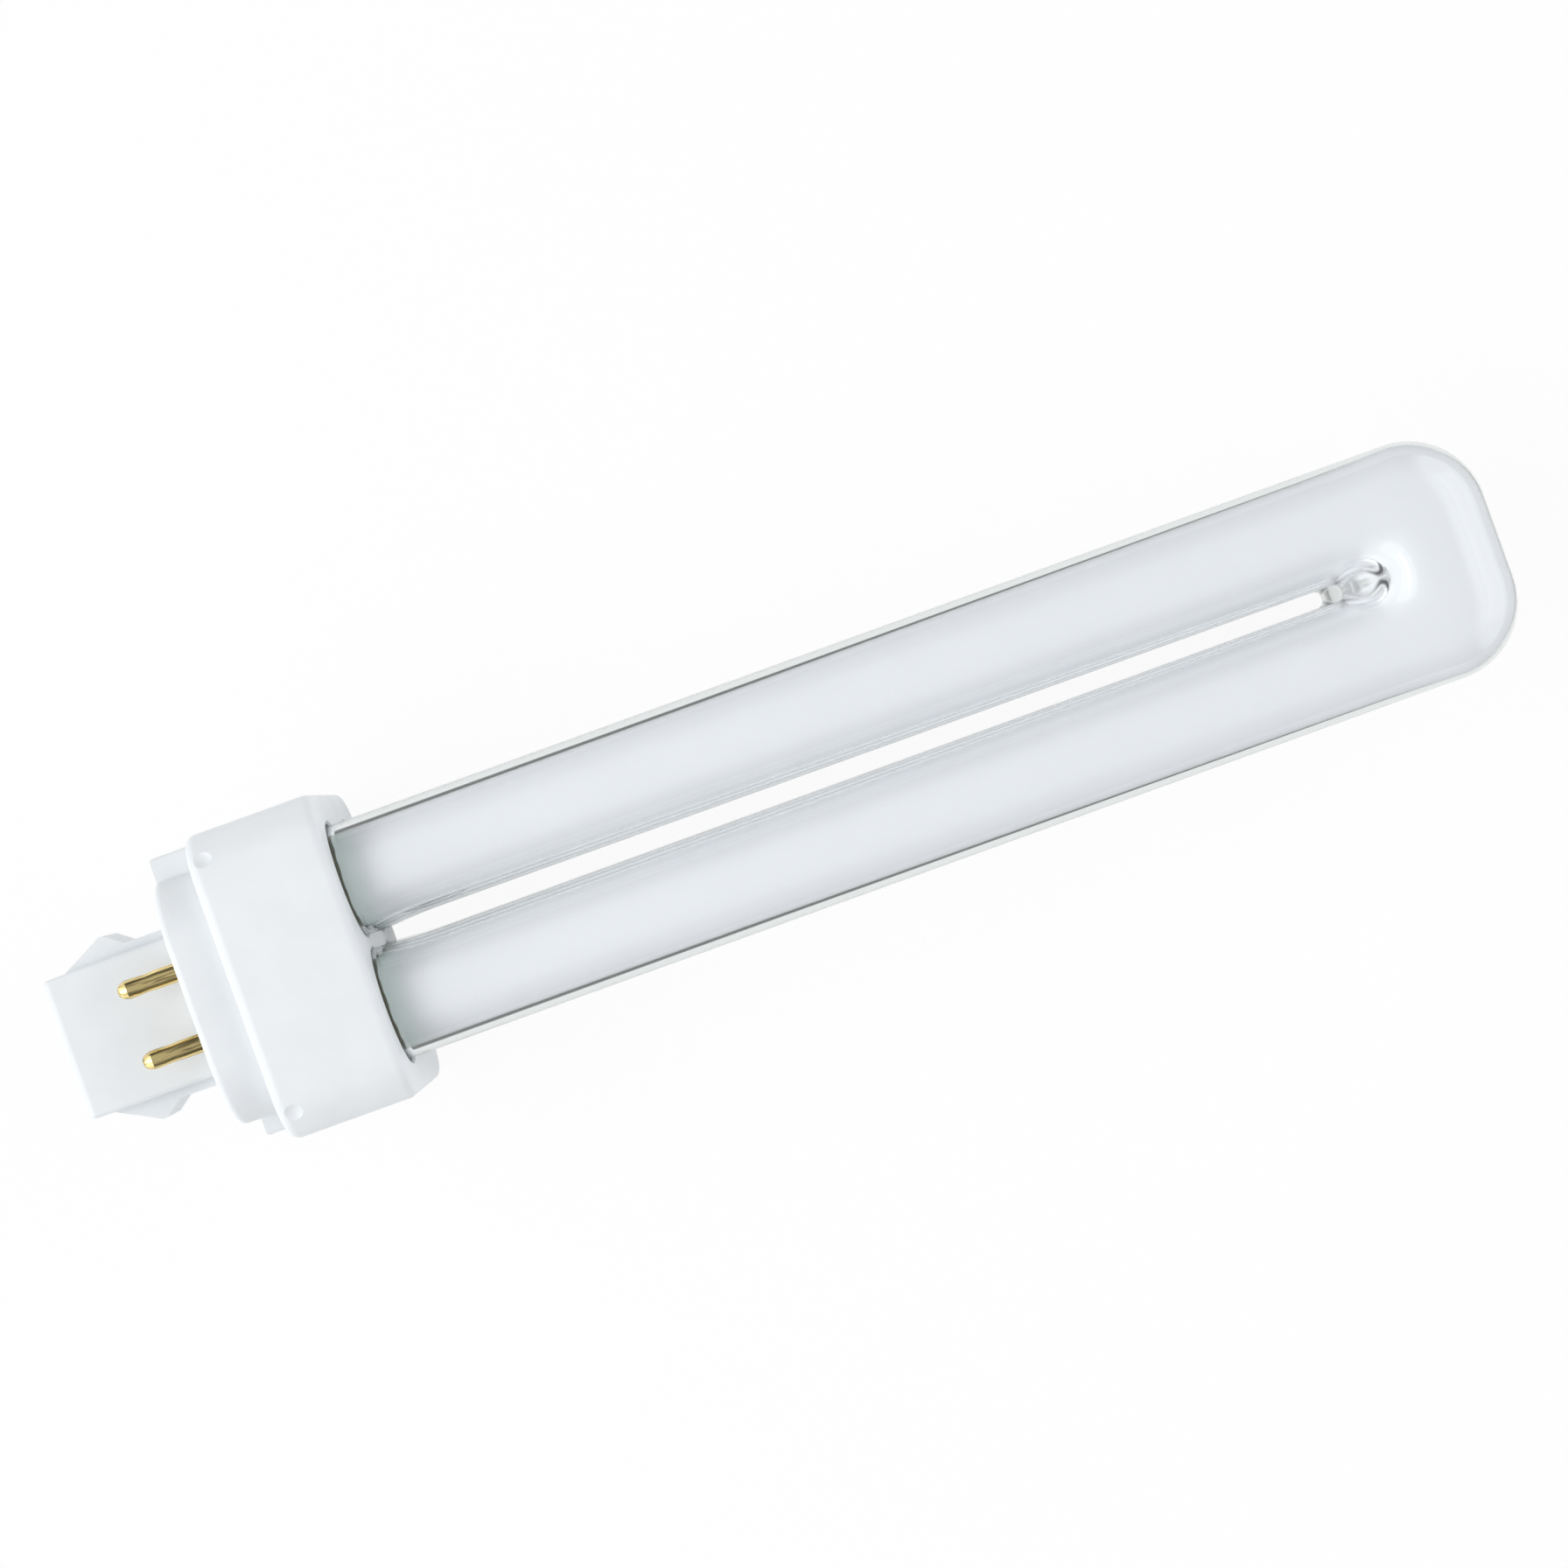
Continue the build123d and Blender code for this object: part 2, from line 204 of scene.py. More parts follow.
class LampGlassSettings(bpy.types.PropertyGroup):
    diameter: size("Tube diameter", "Outside diameter of each glass leg", 12.2 * MM)
    wall: size("Wall", "Thickness of the glass in the legs", 1.05 * MM)
    tip_wall: size("Tip wall", "Thickness of the blown glass at the end of each bend", 0.27 * MM)
    crotch_wall: size("Crotch wall", "Thickness of the glass at the end of the slot", 3.7 * MM)
    pressed: amount("Pressed glass", "Roughness of the glass at the end of the slot", 0.2, max=0.5)
    # Painted light: the pressed glass at the crotch glows faintly, lightening its shade.
    painted_crotch_glow: amount("Pressed haze", "Light that the pressed glass passes on", 0.03, max=0.2)
    thinning: amount("Thinning", "Share of the wall lost on the way to the bend", 0.3, max=0.6)
    pitch: size("Leg pitch", "Distance between the middles of two legs", 14.45 * MM)
    bend_length: size("Bend length", "From the end of the slot to the tube tips", 17.7 * MM)
    corner: size("Bend corner", "Outer corner radius of the squared bend", 8.5 * MM)
    fullness: amount("Fullness", "2 is an ellipse, more is squarer", 2.45, min=2.0, max=6.0)
    converge: size("Converging", "How far each leg leans in on the slot at the bend", 0.2 * MM)
    swell: size("Root swell", "How far a leg bulges into the slot at the housing", 0.36 * MM)
    swell_spread: size("Swell spread", "How far along the leg the swelling reaches", 3.6 * MM)
    bridge_at: size("Bridge place", "Distance of the glass bridge from the seat", 27.0 * MM)
    bridge: size("Bridge diameter", "Outside diameter of the glass bridge", 7.0 * MM)
    tint: colour("Glass tint", "Colour of the clear glass", (0.985, 0.995, 0.99))
    air_gap: size("Air gap", "Between the glass and its powder coating", 0.03 * MM)
    film: size("Film", "Thickness of the coating", 0.03 * MM)
    coat_fade: size("Coating fade", "Length over which the coating grows dense", 4.2 * MM)
    coat: colour("Coating", "Colour of the phosphor coating", (0.855, 0.87, 0.90))
    # The whiter coating beyond the slot's end is a painted highlight.
    painted_highlight_coat: colour("Painted highlight", "Its colour beyond the slot's end", (0.92, 0.935, 0.955))
    thin_coat: colour(
        "Thin coating", "Its colour where it is thin, at the housing", (0.65, 0.745, 0.72)
    )
    # Painted light: a glow on the coating between the legs, where shade falls.
    painted_slot_glow: amount("Glow", "Light that the powder passes on between the legs", 0.36, max=0.5)
    seal: colour("Seal", "Colour of the dark line round a leg at the housing", (0.09, 0.09, 0.05))
    seal_width: size("Seal width", "Width of that line", 0.2 * MM)
    passing: amount(
        "Light passing", "Share of soft light that passes each face of the glass", 0.96, max=1.0
    )


class LampPlasticSettings(bpy.types.PropertyGroup):
    base: colour("Plastic", "Colour of the moulded plastic", (0.81, 0.83, 0.845))
    shade: colour("Mottle", "Colour of its faint darker mottle", (0.775, 0.795, 0.81))
    gloss: amount("Roughness", "Roughness of the satin surface", 0.42, min=0.0, max=1.0)
    grain: size("Grain", "Size of the fine moulding grain", 0.35 * MM)


class LampPinSettings(bpy.types.PropertyGroup):
    diameter: size("Shank", "Diameter of the pin's shank", 2.1 * MM)
    waist: size("Waist", "Diameter at the waist", 1.96 * MM)
    waist_at: size("Waist place", "Distance of the waist from the seat", 3.6 * MM)
    waist_length: size("Waist length", "Length of the waist along the pin", 3.2 * MM)
    tip: size("Tip", "Length of the tapered tip", 1.0 * MM)
    tip_diameter: size("Tip diameter", "Diameter of the flat at the tip", 1.1 * MM)
    pitch: size("Pitch", "Distance between the two pins of a row", 8.0 * MM)
    rows: size("Rows", "Distance between the two rows", 22.6 * MM)
    brass: colour("Brass", "Colour of the pins", (0.93, 0.74, 0.34))


class LampWireSettings(bpy.types.PropertyGroup):
    diameter: size("Wire", "Diameter of the lead wires", 0.6 * MM)
    spacing: size("Spacing", "Distance between the two wires of an electrode", 4.0 * MM)
    turn_at: size("Turn place", "Distance from the seat where the wires turn to the pins", 4.6 * MM)
    turn_radius: size("Turn radius", "Radius of the wires' turns", 0.7 * MM)
    end: size("Wire end", "Distance of the electrodes from the seat", 24.0 * MM)
    coil_diameter: size("Coil", "Outside diameter of an electrode's coil", 0.8 * MM)
    coil_wire: size("Coil wire", "Thickness of the coated coil's winding", 0.22 * MM)
    coil_turns: bpy.props.IntProperty(
        name="Coil turns", description="Turns of each electrode's coil", default=12, min=3
    )


class LampStageSettings(bpy.types.PropertyGroup):
    distance: size("Camera distance", "From the camera to the lamp's axis", 390 * MM)
    aim_x: size("Aim X", "Point below the camera, along the lamp's axis", 67.8 * MM)
    aim_y: size("Aim Y", "Point below the camera, across the axis", 0.87 * MM)
    roll: bpy.props.FloatProperty(
        name="Roll",
        description="Angle of the lamp's axis in the picture",
        default=math.radians(19.85),
        subtype="ANGLE",
    )
    lens: amount("Lens", "Focal length for a 36 mm sensor", 81.2)
    floor: colour("Floor", "Colour of the pale floor", (0.90, 0.90, 0.90))
    sheet: size("Sheet", "Half width of the lit sheet that the glass shows", 35.5 * MM)
    seen_through: colour(
        "Sheet in glass", "Colour of the sheet seen through glass", (0.76, 0.79, 0.785)
    )
    key: amount("Key light", "Power of the soft light beyond the plug, in watts", 0.5)
    fill: amount("Fill light", "Power of the soft light beyond the bends, in watts", 0.15)
    sky: amount("Surround", "Strength of the surround at the lamp's sides", 0.16)
    ceiling: amount("Ceiling", "Strength of the surround overhead", 0.5)
    plug_end: amount("Plug end", "Added strength of the surround beyond the plug", 1.25)
    bend_end: amount("Bend end", "Added strength of the surround beyond the bends", 1.2)


GROUPS = {
    "lamp_glass": LampGlassSettings,
    "lamp_plastic": LampPlasticSettings,
    "lamp_pins": LampPinSettings,
    "lamp_wires": LampWireSettings,
    "lamp_stage": LampStageSettings,
}


def new_object(name, mesh):
    obj = bpy.data.objects.new(name, mesh)
    bpy.context.scene.collection.objects.link(obj)
    return obj


def grid_mesh(name, rings):
    """A mesh through rings of points, each closed on itself, with a cap at either end."""
    count = len(rings[0])
    verts = [tuple(point) for ring in rings for point in ring]
    faces = []
    for row in range(len(rings) - 1):
        for k in range(count):
            after = (k + 1) % count
            a, b = row * count, (row + 1) * count
            faces.append((a + k, a + after, b + after, b + k))
    last = (len(rings) - 1) * count
    faces.append(tuple(reversed(range(count))))
    faces.append(tuple(range(last, last + count)))
    mesh = bpy.data.meshes.new(name)
    mesh.from_pydata(verts, [], faces)
    outward(mesh)
    return mesh


def outward(mesh):
    """Turns every face of a closed mesh outwards."""
    shape = bmesh.new()
    shape.from_mesh(mesh)
    bmesh.ops.recalc_face_normals(shape, faces=shape.faces)
    shape.to_mesh(mesh)
    shape.free()


def smooth(mesh, angle=CREASE):
    """Smooth shading, kept crisp where two faces meet at more than the angle."""
    shape = bmesh.new()
    shape.from_mesh(mesh)
    for face in shape.faces:
        face.smooth = True
    for edge in shape.edges:
        edge.smooth = len(edge.link_faces) == 2 and edge.calc_face_angle(0) < angle
    shape.to_mesh(mesh)
    shape.free()


def evaluated(obj):
    """Bakes the object's modifiers into its mesh and removes them."""
    graph = bpy.context.evaluated_depsgraph_get()
    mesh = bpy.data.meshes.new_from_object(obj.evaluated_get(graph))
    obj.modifiers.clear()
    obj.data = mesh
    return obj


def finish_piece(obj, material, slot, *nodes):
    """Gives a piece its material and seats it on the lamp in place of its CAD nodes."""
    obj.data.materials.clear()
    obj.data.materials.append(material)
    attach(obj, BODY)
    if nodes:
        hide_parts(*nodes)


def turned(name, outline):
    """A solid turned about X. The outline is a list of (x, radius) that starts and ends on X."""
    turns = [2 * math.pi * k / TURNED_POINTS for k in range(TURNED_POINTS)]
    rings = [[(x, r * math.cos(t), r * math.sin(t)) for t in turns] for x, r in outline]
    return grid_mesh(name, rings)


def ray_to_outline(angle, half_width, reach, corner):
    """Distance from the slot's end to the squared bend's outline, at an angle from the axis."""
    dx, dy = math.cos(angle), abs(math.sin(angle))
    to_tip = reach / dx if dx > 1e-9 else math.inf
    if dy * to_tip <= half_width - corner:
        return to_tip
    to_side = half_width / dy
    if dx * to_side <= reach - corner:
        return to_side
    cx, cy = reach - corner, half_width - corner
    along = dx * cx + dy * cy
    return along + math.sqrt(along**2 - (cx**2 + cy**2 - corner**2))


def oval(near, far, deep, fullness):
    """Points round a section: two half ellipses, or squarer where the fullness is over 2."""
    power = ROUND / fullness
    points = []
    for k in range(RING_POINTS):
        turn = 2 * math.pi * k / RING_POINTS
        c, s = math.cos(turn), math.sin(turn)
        across = far if c > 0 else near
        points.append(
            (math.copysign(abs(c) ** power, c) * across, math.copysign(abs(s) ** power, s) * deep)
        )
    return points


class TubeForm:
    """The form of a U-tube's surface: the outside, or one sunk below it by the wall and a gap."""

    def __init__(self, glass, face_x, tip, gap=None):
        self.glass, self.face_x, self.tip, self.gap = glass, face_x, tip, gap
        self.radius = glass.diameter / 2
        self.half_pitch = glass.pitch / 2
        self.slot_end = tip - glass.bend_length
        self.slot = self.half_pitch - self.radius - glass.converge
        self.pivot = self.slot_end - self.slot

    def bulge(self, x):
        """How far the leg's slot side stands in at X: at the housing, and towards the bend."""
        glass = self.glass
        along = (x - self.face_x) / (self.pivot - self.face_x)
        root = math.exp(-(((x - self.face_x) / glass.swell_spread) ** 2))
        return glass.converge * min(1.0, max(0.0, along)) + glass.swell * root

    def walls(self, x, bend):
        """Wall on the slot side, on the far side and above, with bend from 0 to 1 at the tip."""
        if self.gap is None:
            return 0.0, 0.0, 0.0
        glass = self.glass
        t = min(1.0, max(0.0, 1 - (self.pivot - x) / THINNING_LENGTH))
        leg = glass.wall * (1 - glass.thinning * t * t * (3 - 2 * t))
        near = leg + (glass.crotch_wall - leg) * bend**2
        far = leg + (glass.tip_wall - leg) * bend
        above = leg + (glass.tip_wall * ROOF_SHARE - leg) * bend
        return near + self.gap, far + self.gap, above + self.gap

    def leg(self, x, side, z):
        near, far, above = self.walls(x, 0.0)
        half = self.radius + self.bulge(x) / 2
        middle = self.half_pitch - self.bulge(x) / 2
        points = oval(half - near, half - far, self.radius - above, ROUND)
        return [(x, side * (middle + a), z + b) for a, b in points]

    def fan(self, angle, z):
        """A ring of the bend. The rings fan out from the end of the slot."""
        glass = self.glass
        turn = math.cos(angle) ** 2
        near, far, above = self.walls(self.pivot, turn)
        half_width = self.half_pitch + self.radius
        reach = ray_to_outline(angle, half_width, self.tip - self.pivot, glass.corner)
        half = (reach - self.slot) / 2
        middle = reach - half
        fullness = ROUND + (glass.fullness - ROUND) * turn
        c, s = math.cos(angle), math.sin(angle)
        points = oval(half - near, half - far, self.radius - above, fullness)
        return [(self.pivot + (middle + a) * c, (middle + a) * s, z + b) for a, b in points]

    def rings(self, start, z):
        """All the rings from the start of one leg round the bend to the start of the other."""
        steps = [(k / LEG_RINGS) ** LEG_STEP_POWER for k in range(LEG_RINGS // 2)]
        root_end = self.face_x + ROOT_SPREADS * self.glass.swell_spread
        leg = [start + (root_end - start) * k / LEG_RINGS for k in range(LEG_RINGS)]
        leg += [self.pivot - (self.pivot - root_end) * (1 - t) for t in steps]
        turns = [math.pi * (k / BEND_RINGS - 0.5) for k in range(BEND_RINGS + 1)]
        rings = [self.leg(x, -1, z) for x in leg]
        rings += [self.fan(angle, z) for angle in turns]
        return rings + [self.leg(x, 1, z) for x in reversed(leg)]


def bridge_rings(glass, radius):
    """The short tube between the rear and front legs at -Y, flared where it meets them."""
    y, reach = -glass.pitch / 2, glass.pitch / 2
    rings = []
    for k in range(BRIDGE_RINGS + 1):
        z = -reach + 2 * reach * k / BRIDGE_RINGS
        here = radius + BRIDGE_FLARE * min(1.0, abs(z) / FLARE_SPREAD) ** 2
        turns = [2 * math.pi * j / BRIDGE_POINTS for j in range(BRIDGE_POINTS)]
        rings.append(
            [(glass.bridge_at + here * math.cos(t), y + here * math.sin(t), z) for t in turns]
        )
    return rings


def fused(name, form, start, bridge_radius):
    """Both U-tubes and their bridge as one closed surface."""
    meshes = [
        grid_mesh(f"{name}_tube", form.rings(start, side * form.half_pitch)) for side in (-1, 1)
    ]
    meshes.append(grid_mesh(f"{name}_bridge", bridge_rings(form.glass, bridge_radius)))
    whole, *others = [new_object(mesh.name, mesh) for mesh in meshes]
    for other in others:
        join = whole.modifiers.new("Join", "BOOLEAN")
        join.operation = "UNION"
        join.solver = "EXACT"
        join.object = other
    evaluated(whole)
    for other in others:
        bpy.data.objects.remove(other)
    return whole


def joined(name, parts):
    """One object from several, each with its faces turned outwards or inwards."""
    shape = bmesh.new()
    for obj, inwards in parts:
        mesh = obj.data
        if inwards:
            mesh.flip_normals()
        shape.from_mesh(mesh)
        bpy.data.objects.remove(obj)
    mesh = bpy.data.meshes.new(name)
    shape.to_mesh(mesh)
    shape.free()
    return new_object(name, mesh)


def solid(colour):
    """A colour with its alpha."""
    return (*colour, 1.0)


def darker(colour, share):
    return solid(value * share for value in colour)


def moved(place, span):
    """A span of distances, counted from a place."""
    return tuple(place + distance for distance in span)


class Tree:
    """A node tree under construction. A value is a number, a colour or another node's socket."""

    def __init__(self, tree):
        self.tree = tree

    def fill(self, node, values):
        for key, value in values.items():
            if isinstance(value, bpy.types.NodeSocket):
                self.tree.links.new(value, node.inputs[key])
            else:
                node.inputs[key].default_value = value

    def add(self, kind, values=None, **settings):
        node = self.tree.nodes.new(kind)
        for key, value in settings.items():
            setattr(node, key, value)
        self.fill(node, values or {})
        return node


class ShaderTree(Tree):
    """A shader's tree, with the few nodes that the materials and the surround are made of."""

    def place(self, kind="Object"):
        return self.add("ShaderNodeTexCoord").outputs[kind]

    def split(self, vector):
        return self.add("ShaderNodeSeparateXYZ", {"Vector": vector}).outputs

    def rays(self):
        return self.add("ShaderNodeLightPath").outputs

    def math(self, operation, *values):
        return self.add("ShaderNodeMath", dict(enumerate(values)), operation=operation).outputs[0]

    def product(self, first, *others):
        for other in others:
            first = self.math("MULTIPLY", first, other)
        return first

    def mix(self, factor, first, second):
        """The first colour where the factor is 0, and the second where it is 1."""
        values = {"Factor": factor, "A": first, "B": second}
        return self.add("ShaderNodeMix", values, data_type="RGBA").outputs["Result"]

    def step(self, value, span, start=1.0, end=0.0, kind="SMOOTHSTEP"):
        """Goes from start to end as the value goes over the span."""
        values = {"Value": value, "To Min": start, "To Max": end}
        values["From Min"], values["From Max"] = span
        return self.add("ShaderNodeMapRange", values, interpolation_type=kind).outputs["Result"]

    def noise(self, scale, detail=3.0, stretch=(1.0, 1.0, 1.0)):
        """A noise over the piece's Object coordinates, whose marks are about 1/scale metres."""
        mapping = self.add("ShaderNodeMapping", {"Vector": self.place(), "Scale": stretch})
        values = {"Vector": mapping.outputs["Vector"], "Scale": scale, "Detail": detail}
        return self.add("ShaderNodeTexNoise", values).outputs["Fac"]

    def bump(self, height, strength, distance):
        values = {"Height": height, "Strength": strength, "Distance": distance}
        return self.add("ShaderNodeBump", values).outputs["Normal"]

    def blend(self, factor, first, second):
        """Two shaders, from the first at 0 to the second at 1."""
        return self.add("ShaderNodeMixShader", {0: factor, 1: first, 2: second}).outputs[0]


def shader(name):
    """A new material, its tree and its Principled shader."""
    material = bpy.data.materials.new(name)
    material.use_nodes = True
    tree = material.node_tree
    return material, ShaderTree(tree), tree.nodes["Principled BSDF"]


def moulded_group():
    """Fine grain, faint mottle and rare specks, for the moulded and cast surfaces."""
    name = "Moulded surface"
    if name in bpy.data.node_groups:
        return bpy.data.node_groups[name]
    group = bpy.data.node_groups.new(name, "ShaderNodeTree")
    face = group.interface
    for label, kind, default in (
        ("Base", "NodeSocketColor", (0.8, 0.8, 0.8, 1.0)),
        ("Mottle", "NodeSocketColor", (0.7, 0.7, 0.7, 1.0)),
        ("Grain Size", "NodeSocketFloat", 0.35 * MM),
        ("Gloss", "NodeSocketFloat", 0.4),
    ):
        face.new_socket(name=label, in_out="INPUT", socket_type=kind).default_value = default
    for label, kind in (
        ("Colour", "NodeSocketColor"),
        ("Roughness", "NodeSocketFloat"),
        ("Height", "NodeSocketFloat"),
    ):
        face.new_socket(name=label, in_out="OUTPUT", socket_type=kind)
    build = ShaderTree(group)
    given = build.add("NodeGroupInput").outputs
    broad = build.step(build.noise(MOTTLE_SCALE, detail=4.0), MOTTLE_SPAN, 0.0, 1.0, "LINEAR")
    mottled = build.mix(broad, given["Base"], given["Mottle"])
    place = build.place()
    cells = build.add("ShaderNodeTexVoronoi", {"Vector": place, "Scale": SPECK_SCALE}).outputs
    spot = build.step(cells["Distance"], SPECK_SIZE)
    rare = build.step(build.split(cells["Color"])["X"], SPECK_CHANCE, 0.0, SPECK_DEPTH)
    per_metre = build.math("DIVIDE", 1.0, given["Grain Size"])
    fine = {"Vector": place, "Scale": per_metre, "Detail": 2.0}
    grain = build.add("ShaderNodeTexNoise", fine).outputs["Fac"]
    made = {
        "Colour": build.mix(build.product(spot, rare), mottled, solid(SPECK)),
        "Roughness": build.math("MULTIPLY_ADD", grain, ROUGHNESS_SPREAD, given["Gloss"]),
        "Height": grain,
    }
    build.add("NodeGroupOutput", made)
    return group


def moulded(name, base, mottle, gloss, grain, depth):
    """A moulded or cast material: its base colour, mottle, satin sheen and grain."""
    material, build, principled = shader(name)
    given = {
        "Base": solid(base),
        "Mottle": solid(mottle),
        "Grain Size": grain,
        "Gloss": gloss - ROUGHNESS_SPREAD / 2,
    }
    surface = build.add("ShaderNodeGroup", given, node_tree=moulded_group()).outputs
    finish = {
        "Base Color": surface["Colour"],
        "Roughness": surface["Roughness"],
        "Normal": build.bump(surface["Height"], GRAIN_STRENGTH, depth),
        "IOR": 1.47,
    }
    build.fill(principled, finish)
    return material


def clear_glass(glass, slot_end):
    """The tubes' clear glass, with faint drawn waves, and less clear where it was pressed."""
    material, build, principled = shader("Clear tube glass")
    at = build.split(build.place())
    # The pressed glass is rougher here, and it also carries a painted glow that lightens the
    # crotch.
    pressed = build.product(
        build.step(at["X"], moved(slot_end, PRESSED_START), 0.0, 1.0),
        build.step(at["X"], moved(slot_end, PRESSED_END)),
        build.step(build.math("ABSOLUTE", at["Y"]), PRESSED_SIDE),
    )
    rays = build.rays()
    soft = build.math("MAXIMUM", rays["Is Shadow Ray"], rays["Is Diffuse Ray"])
    waves = build.noise(WAVE_SCALE, detail=2.0, stretch=(0.08, 1.0, 1.0))
    finish = {
        "Base Color": solid(glass.tint),
        "Transmission Weight": 1.0,
        "IOR": 1.5,
        "Roughness": build.step(pressed, (0.0, 1.0), 0.0, glass.pressed),
        # Painted light: a faint glow where the glass was pressed.
        "Emission Color": pressed,
        "Emission Strength": glass.painted_crotch_glow,
        "Alpha": build.math("MULTIPLY_ADD", soft, -glass.passing, 1.0),
        "Normal": build.bump(waves, WAVE_STRENGTH, WAVE_HEIGHT),
    }
    build.fill(principled, finish)
    return material


def phosphor(glass, face_x, slot_end):
    """The white powder coating. It thins towards the housing, where the dark seal line shows."""
    material, build, principled = shader("Phosphor coating")
    place = build.place()
    at = build.split(place)
    across, upright = build.math("ABSOLUTE", at["Y"]), build.math("ABSOLUTE", at["Z"])

    clouds = build.noise(CLOUD_SCALE)
    coat = build.mix(clouds, solid(glass.coat), darker(glass.coat, CLOUD_SHADE))
    # A painted highlight: whiter coating just beyond the slot's end.
    from_slot = {"Vector": place, "Location": (-slot_end, 0.0, 0.0), "Scale": (1.0, 1.0, 0.0)}
    flat = build.add("ShaderNodeMapping", from_slot).outputs["Vector"]
    off = build.add("ShaderNodeVectorMath", {0: flat}, operation="LENGTH").outputs["Value"]
    painted_highlight_mask = build.product(
        build.step(off, PAINTED_HIGHLIGHT_RADIUS),
        build.step(across, PAINTED_HIGHLIGHT_SIDE),
        build.step(at["X"], moved(slot_end, PAINTED_HIGHLIGHT_START), 0.0, 1.0),
    )
    coat = build.mix(painted_highlight_mask, coat, solid(glass.painted_highlight_coat))

    ragged = build.noise(RAGGED_SCALE, detail=4.0)
    ragged = build.math("MULTIPLY_ADD", ragged, COAT_RAGGED, at["X"])
    start = face_x + COAT_START
    thick = build.step(ragged, (start, start + glass.coat_fade), 0.0, 1.0)
    faded = build.mix(thick, solid(glass.thin_coat), coat)

    width = glass.seal_width
    uneven = build.noise(SEAL_SCALE, detail=2.0)
    uneven = build.math("MULTIPLY_ADD", uneven, SEAL_WANDER * width, at["X"])
    line = (face_x - SEAL_BEHIND * width, face_x + SEAL_STEP - SEAL_SHORT * width)
    past_seal = build.step(uneven, line, 0.0, 1.0, "LINEAR")

    # Painted light: the coating deep between the legs glows, lightening the shade there.
    painted_glow_mask = build.product(
        thick,
        build.step(build.math("MINIMUM", across, upright), PAINTED_GLOW_NEAR),
        build.step(build.math("MAXIMUM", across, upright), PAINTED_GLOW_FAR),
        build.step(at["X"], moved(slot_end, PAINTED_GLOW_END)),
    )
    finish = {
        "Base Color": build.mix(past_seal, solid(glass.seal), faded),
        "Roughness": 0.9,
        "Specular IOR Level": 0.2,
        "Emission Color": build.mix(painted_glow_mask, solid(BLACK), coat),
        "Emission Strength": glass.painted_slot_glow,
    }
    build.fill(principled, finish)
    return material


def metal(name, base, roughness, along):
    """Drawn metal, with fine dark lines along X."""
    material, build, principled = shader(name)
    lines = build.noise(DRAWN_SCALE, detail=4.0, stretch=(along, 1.0, 1.0))
    marks = build.step(lines, DRAWN_SPAN, 0.0, 1.0, "LINEAR")
    finish = {
        "Base Color": build.mix(marks, solid(base), darker(base, DRAWN_SHADE)),
        "Metallic": 1.0,
        "Roughness": build.math("MULTIPLY_ADD", lines, ROUGHNESS_SPREAD, roughness),
    }
    build.fill(principled, finish)
    return material


class MeshTree(Tree):
    """A Geometry Nodes tree with named inputs and one mesh out."""

    def __init__(self, name, inputs):
        super().__init__(bpy.data.node_groups.new(name, "GeometryNodeTree"))
        face = self.tree.interface
        face.new_socket(name="Geometry", in_out="INPUT", socket_type="NodeSocketGeometry")
        face.new_socket(name="Geometry", in_out="OUTPUT", socket_type="NodeSocketGeometry")
        self.ids = {}
        for label, kind, default in inputs:
            socket = face.new_socket(name=label, in_out="INPUT", socket_type=kind)
            if default is not None:
                socket.default_value = default
            self.ids[label] = socket.identifier
        self.given = self.add("NodeGroupInput").outputs

    def finish(self, geometry):
        real = self.add("GeometryNodeRealizeInstances", {"Geometry": geometry})
        values = {"Geometry": real.outputs[0], "Material": self.given["Material"]}
        shown = self.add("GeometryNodeSetMaterial", values)
        self.add("NodeGroupOutput", {"Geometry": shown.outputs[0]})

    def run(self, obj, values):
        """Runs the tree on an object and leaves its result as a plain mesh."""
        modifier = obj.modifiers.new(self.tree.name, "NODES")
        modifier.node_group = self.tree
        for label, value in values.items():
            modifier[self.ids[label]] = value
        return evaluated(obj)


def pin_pattern_tree():
    """Repeats one pin at the four corners of a rectangle in the seat plane."""
    build = MeshTree(
        "Pin pattern",
        (
            ("Pitch", "NodeSocketFloat", 8.0 * MM),
            ("Rows", "NodeSocketFloat", 22.6 * MM),
            ("Material", "NodeSocketMaterial", None),
        ),
    )
    given = build.given
    grid = build.add(
        "GeometryNodeMeshGrid",
        {"Size X": given["Rows"], "Size Y": given["Pitch"], "Vertices X": 2, "Vertices Y": 2},
    )
    upright = build.add(
        "GeometryNodeTransform",
        {"Geometry": grid.outputs["Mesh"], "Rotation": (0.0, math.pi / 2, 0.0)},
    )
    copies = build.add(
        "GeometryNodeInstanceOnPoints",
        {"Points": upright.outputs[0], "Instance": given["Geometry"]},
    )
    build.finish(copies.outputs[0])
    return build


